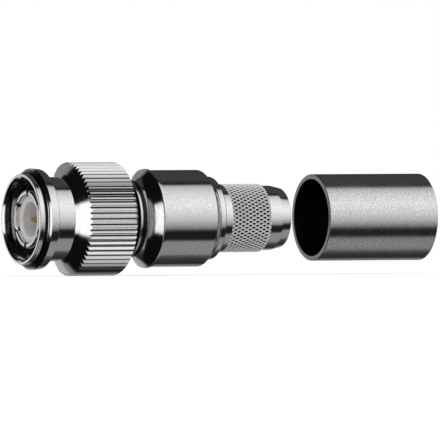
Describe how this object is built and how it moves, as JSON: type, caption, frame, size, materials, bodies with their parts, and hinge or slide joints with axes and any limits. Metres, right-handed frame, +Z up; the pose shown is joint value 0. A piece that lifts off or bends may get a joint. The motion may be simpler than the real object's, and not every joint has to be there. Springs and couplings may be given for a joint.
{
  "type": "tnc cable plug",
  "caption": "Straight crimp plug for thick coaxial cable: knurled threaded coupling nut, slotted outer contact, centre pin, round body, diamond-knurled crimp neck and a loose crimp ferrule.",
  "frame": {"origin": "on the axis, in the plane of the front rim of the outer contact", "axes": "+X along the axis towards the cable, +Z up; the mating connector arrives from -X"},
  "size_m": [0.0614, 0.0156, 0.0156],
  "materials": {
    "plated_brass": "bright nickel plate with fine turning marks",
    "satin_plate": "satin nickel plate on an annealed tube",
    "spring_bronze": "bare drawn bronze",
    "gold_plate": "bright gold plate",
    "ptfe": "waxy white",
    "silicone": "matt"
  },
  "bodies": {
    "plug": {"outer_contact": "plated_brass", "coupling_gasket": "silicone", "main_body": "plated_brass", "crimp_neck": "plated_brass", "front_insulator": "ptfe", "rear_insulator": "ptfe", "centre_pin": "gold_plate"},
    "ring": {"retaining_ring": "spring_bronze"},
    "nut": {"coupling_nut": "plated_brass"},
    "ferrule": {"crimp_ferrule": "satin_plate"}
  },
  "joints": [
    {"name": "nut_float", "type": "slide", "parent": "plug", "child": "ring", "axis": [1, 0, 0], "range_m": [-0.00018, 0.00018]},
    {"name": "nut_turn", "type": "hinge", "parent": "ring", "child": "nut", "pos_m": [0.009, 0, 0], "axis": [1, 0, 0], "continuous": true},
    {"name": "ferrule_slide", "type": "slide", "parent": "plug", "child": "ferrule", "axis": [-1, 0, 0], "range_m": [0, 0.01578]}
  ]
}
